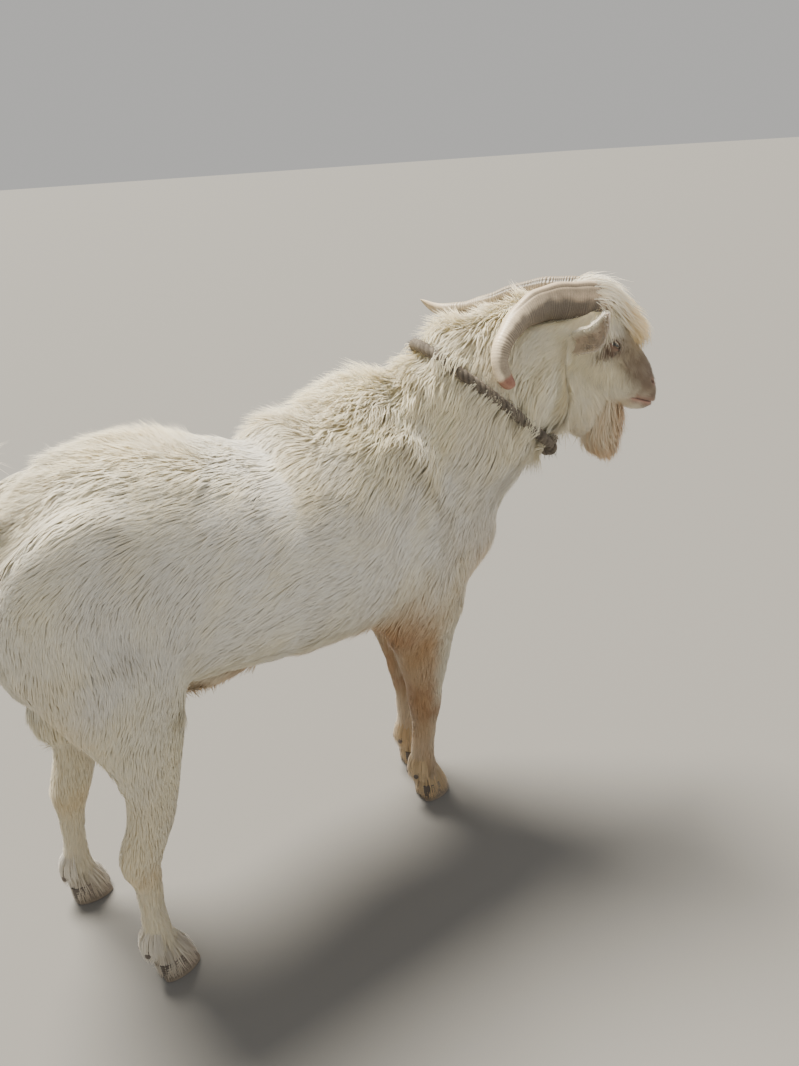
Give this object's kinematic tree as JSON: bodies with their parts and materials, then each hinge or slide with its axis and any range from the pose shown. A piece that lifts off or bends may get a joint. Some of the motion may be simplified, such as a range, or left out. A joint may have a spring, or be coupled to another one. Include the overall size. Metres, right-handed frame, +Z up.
{
  "type": "goat",
  "caption": "Life-size still model of a shaggy white buck goat standing, head turned to its right, with swept-back horns, beard, forelock and a rope collar.",
  "frame": {"origin": "on the floor, under the middle of the whole model's box", "axes": "+Z up, the goat faces -Y, +X is the goat's left"},
  "size_m": [0.3462, 0.983, 0.8352],
  "materials": {
    "coat": "matt hair, white to cream",
    "horn": "ribbed grey-brown horn",
    "claw": "dull brown hoof horn",
    "eye": "wet, dark amber",
    "rope": "weathered, frayed rope"
  },
  "bodies": {
    "root": {"beard": "coat", "claw_front_left_inner": "claw", "claw_front_left_outer": "claw", "claw_front_right_inner": "claw", "claw_front_right_outer": "claw", "claw_hind_left_inner": "claw", "claw_hind_left_outer": "claw", "claw_hind_right_inner": "claw", "claw_hind_right_outer": "claw", "collar": "rope", "collar_knot": "rope", "dewclaw_front_left_inner": "claw", "dewclaw_front_left_outer": "claw", "dewclaw_front_right_inner": "claw", "dewclaw_front_right_outer": "claw", "dewclaw_hind_left_inner": "claw", "dewclaw_hind_left_outer": "claw", "dewclaw_hind_right_inner": "claw", "dewclaw_hind_right_outer": "claw", "ear_left": "coat", "ear_right": "coat", "eye_left": "eye", "eye_right": "eye", "forelock": "coat", "head": "coat", "horn_left": "horn", "horn_right": "horn", "leg_front_left": "coat", "leg_front_right": "coat", "leg_hind_left": "coat", "leg_hind_right": "coat", "neck": "coat", "tail": "coat", "trunk": "coat"}
  },
  "joints": []
}
